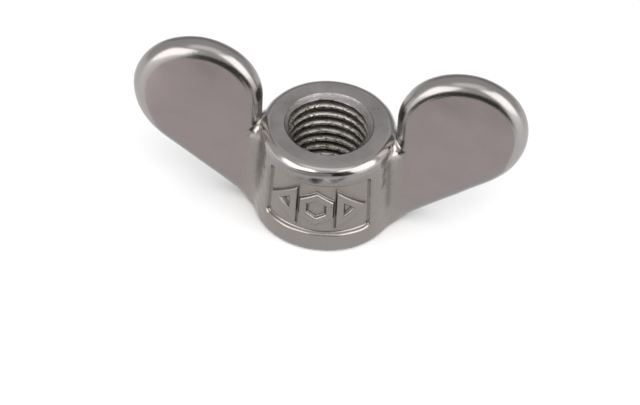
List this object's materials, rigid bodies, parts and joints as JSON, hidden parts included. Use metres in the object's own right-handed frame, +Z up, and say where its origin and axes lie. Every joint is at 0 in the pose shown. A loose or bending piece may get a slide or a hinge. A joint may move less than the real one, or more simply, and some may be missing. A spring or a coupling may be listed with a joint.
{
  "type": "wing nut",
  "caption": "Cast stainless wing nut with a threaded boss, rounded upright wings for turning by hand and a sunk panel with plain raised marks.",
  "frame": {"origin": "middle of the bearing face, on the axis of the thread", "axes": "+Z up the thread's axis from the bearing face towards the wings' tips, X along the span of the wings, -Y out of the side with the sunk panel"},
  "size_m": [0.07, 0.0256, 0.0347],
  "materials": {
    "stainless_steel": "tumbled casting with faced ends and a cut thread"
  },
  "bodies": {
    "root": {"wing_nut": "stainless_steel"}
  },
  "joints": []
}
